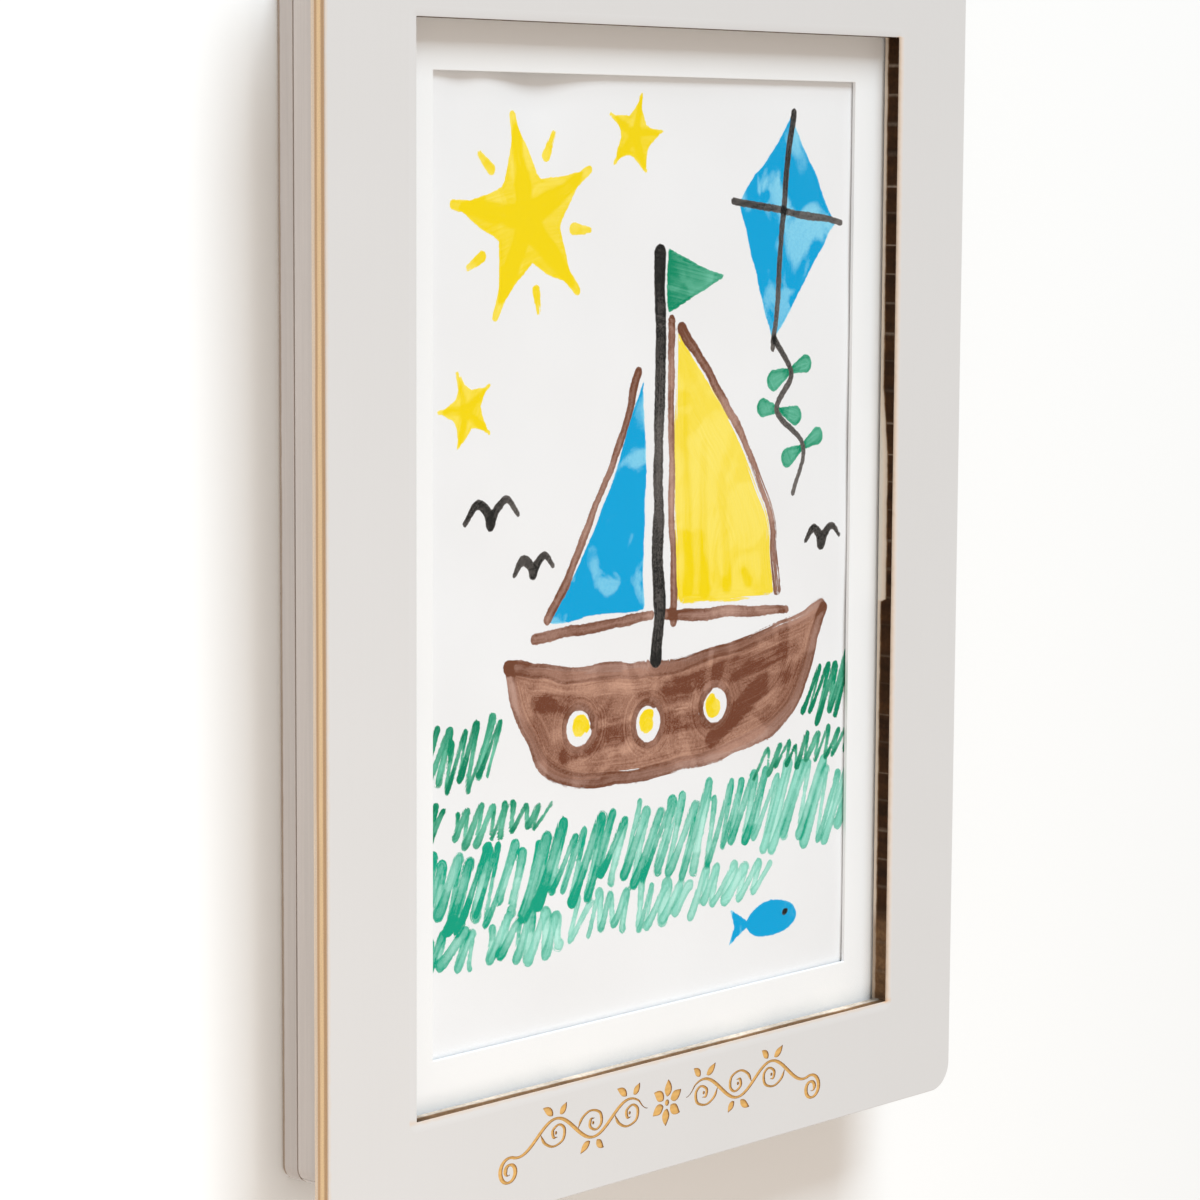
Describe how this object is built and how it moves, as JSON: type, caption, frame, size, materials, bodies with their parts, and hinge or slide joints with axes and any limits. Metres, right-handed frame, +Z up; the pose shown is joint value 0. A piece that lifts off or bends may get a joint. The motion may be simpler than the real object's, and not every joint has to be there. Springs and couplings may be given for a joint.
{
  "type": "childrens art frame",
  "caption": "Wall frame for a child's painting: a grey plywood cover with a window and mat pulls off a shallow storage box on magnets.",
  "frame": {"origin": "middle of the back panel's rear face, which lies flat on the wall", "axes": "+Z up the frame's long side, +Y into the wall, +X to the right seen from the front"},
  "size_m": [0.288, 0.0353, 0.386],
  "materials": {
    "painted_plywood": "satin warm grey paint over plywood, edges left raw and charred by the laser",
    "painted_rail": "satin warm grey paint",
    "clear_acrylic": "clear sheet",
    "white_card": "matt white card",
    "paper": "matt paper with poster paint",
    "grey_board": "raw brown-grey board",
    "bare_wood": "bare softwood",
    "nickel": "bright nickel plating",
    "zinc_plated_steel": "zinc plating",
    "brass_plated_steel": "brass plating"
  },
  "bodies": {
    "wall_box": {"back_panel": "painted_plywood", "rail_top": "painted_rail", "rail_right": "painted_rail", "rail_bottom": "painted_rail", "rail_left": "painted_rail", "keyhole_hanger_left": "zinc_plated_steel", "keyhole_hanger_right": "zinc_plated_steel", "box_magnet_top_left": "nickel", "box_magnet_top_right": "nickel", "box_magnet_bottom_left": "nickel", "box_magnet_bottom_right": "nickel", "panel_screw_end_top_left": "zinc_plated_steel", "panel_screw_end_top_right": "zinc_plated_steel", "panel_screw_end_bottom_left": "zinc_plated_steel", "panel_screw_end_bottom_right": "zinc_plated_steel", "panel_screw_side_top_left": "zinc_plated_steel", "panel_screw_side_top_right": "zinc_plated_steel", "panel_screw_side_bottom_left": "zinc_plated_steel", "panel_screw_side_bottom_right": "zinc_plated_steel", "hanger_screw_top_left": "zinc_plated_steel", "hanger_screw_top_right": "zinc_plated_steel", "hanger_screw_bottom_left": "zinc_plated_steel", "hanger_screw_bottom_right": "zinc_plated_steel"},
    "front_cover": {"front_plate": "painted_plywood", "mat_board": "white_card", "painting_sheet": "paper", "glazing_sheet": "clear_acrylic", "backing_board": "grey_board", "fillet_top": "bare_wood", "fillet_right": "bare_wood", "fillet_bottom": "bare_wood", "fillet_left": "bare_wood", "cover_magnet_top_left": "nickel", "cover_magnet_top_right": "nickel", "cover_magnet_bottom_left": "nickel", "cover_magnet_bottom_right": "nickel", "turn_button_screw_top": "brass_plated_steel", "turn_button_screw_right": "brass_plated_steel", "turn_button_screw_bottom": "brass_plated_steel", "turn_button_screw_left": "brass_plated_steel"},
    "button_top": {"turn_button_top": "brass_plated_steel"},
    "button_right": {"turn_button_right": "brass_plated_steel"},
    "button_bottom": {"turn_button_bottom": "brass_plated_steel"},
    "button_left": {"turn_button_left": "brass_plated_steel"}
  },
  "joints": [
    {"name": "cover_pull", "type": "slide", "parent": "wall_box", "child": "front_cover", "axis": [0, -1, 0], "range_m": [0, 0.06]},
    {"name": "button_top_turn", "type": "hinge", "parent": "front_cover", "child": "button_top", "pos_m": [0, -0.0217, 0.1644], "axis": [0, 1, 0], "range_deg": [-90, 90]},
    {"name": "button_right_turn", "type": "hinge", "parent": "front_cover", "child": "button_right", "pos_m": [0.1154, -0.0217, 0], "axis": [0, 1, 0], "range_deg": [-90, 90]},
    {"name": "button_bottom_turn", "type": "hinge", "parent": "front_cover", "child": "button_bottom", "pos_m": [0, -0.0217, -0.1644], "axis": [0, 1, 0], "range_deg": [-90, 90]},
    {"name": "button_left_turn", "type": "hinge", "parent": "front_cover", "child": "button_left", "pos_m": [-0.1154, -0.0217, 0], "axis": [0, 1, 0], "range_deg": [-90, 90]}
  ]
}
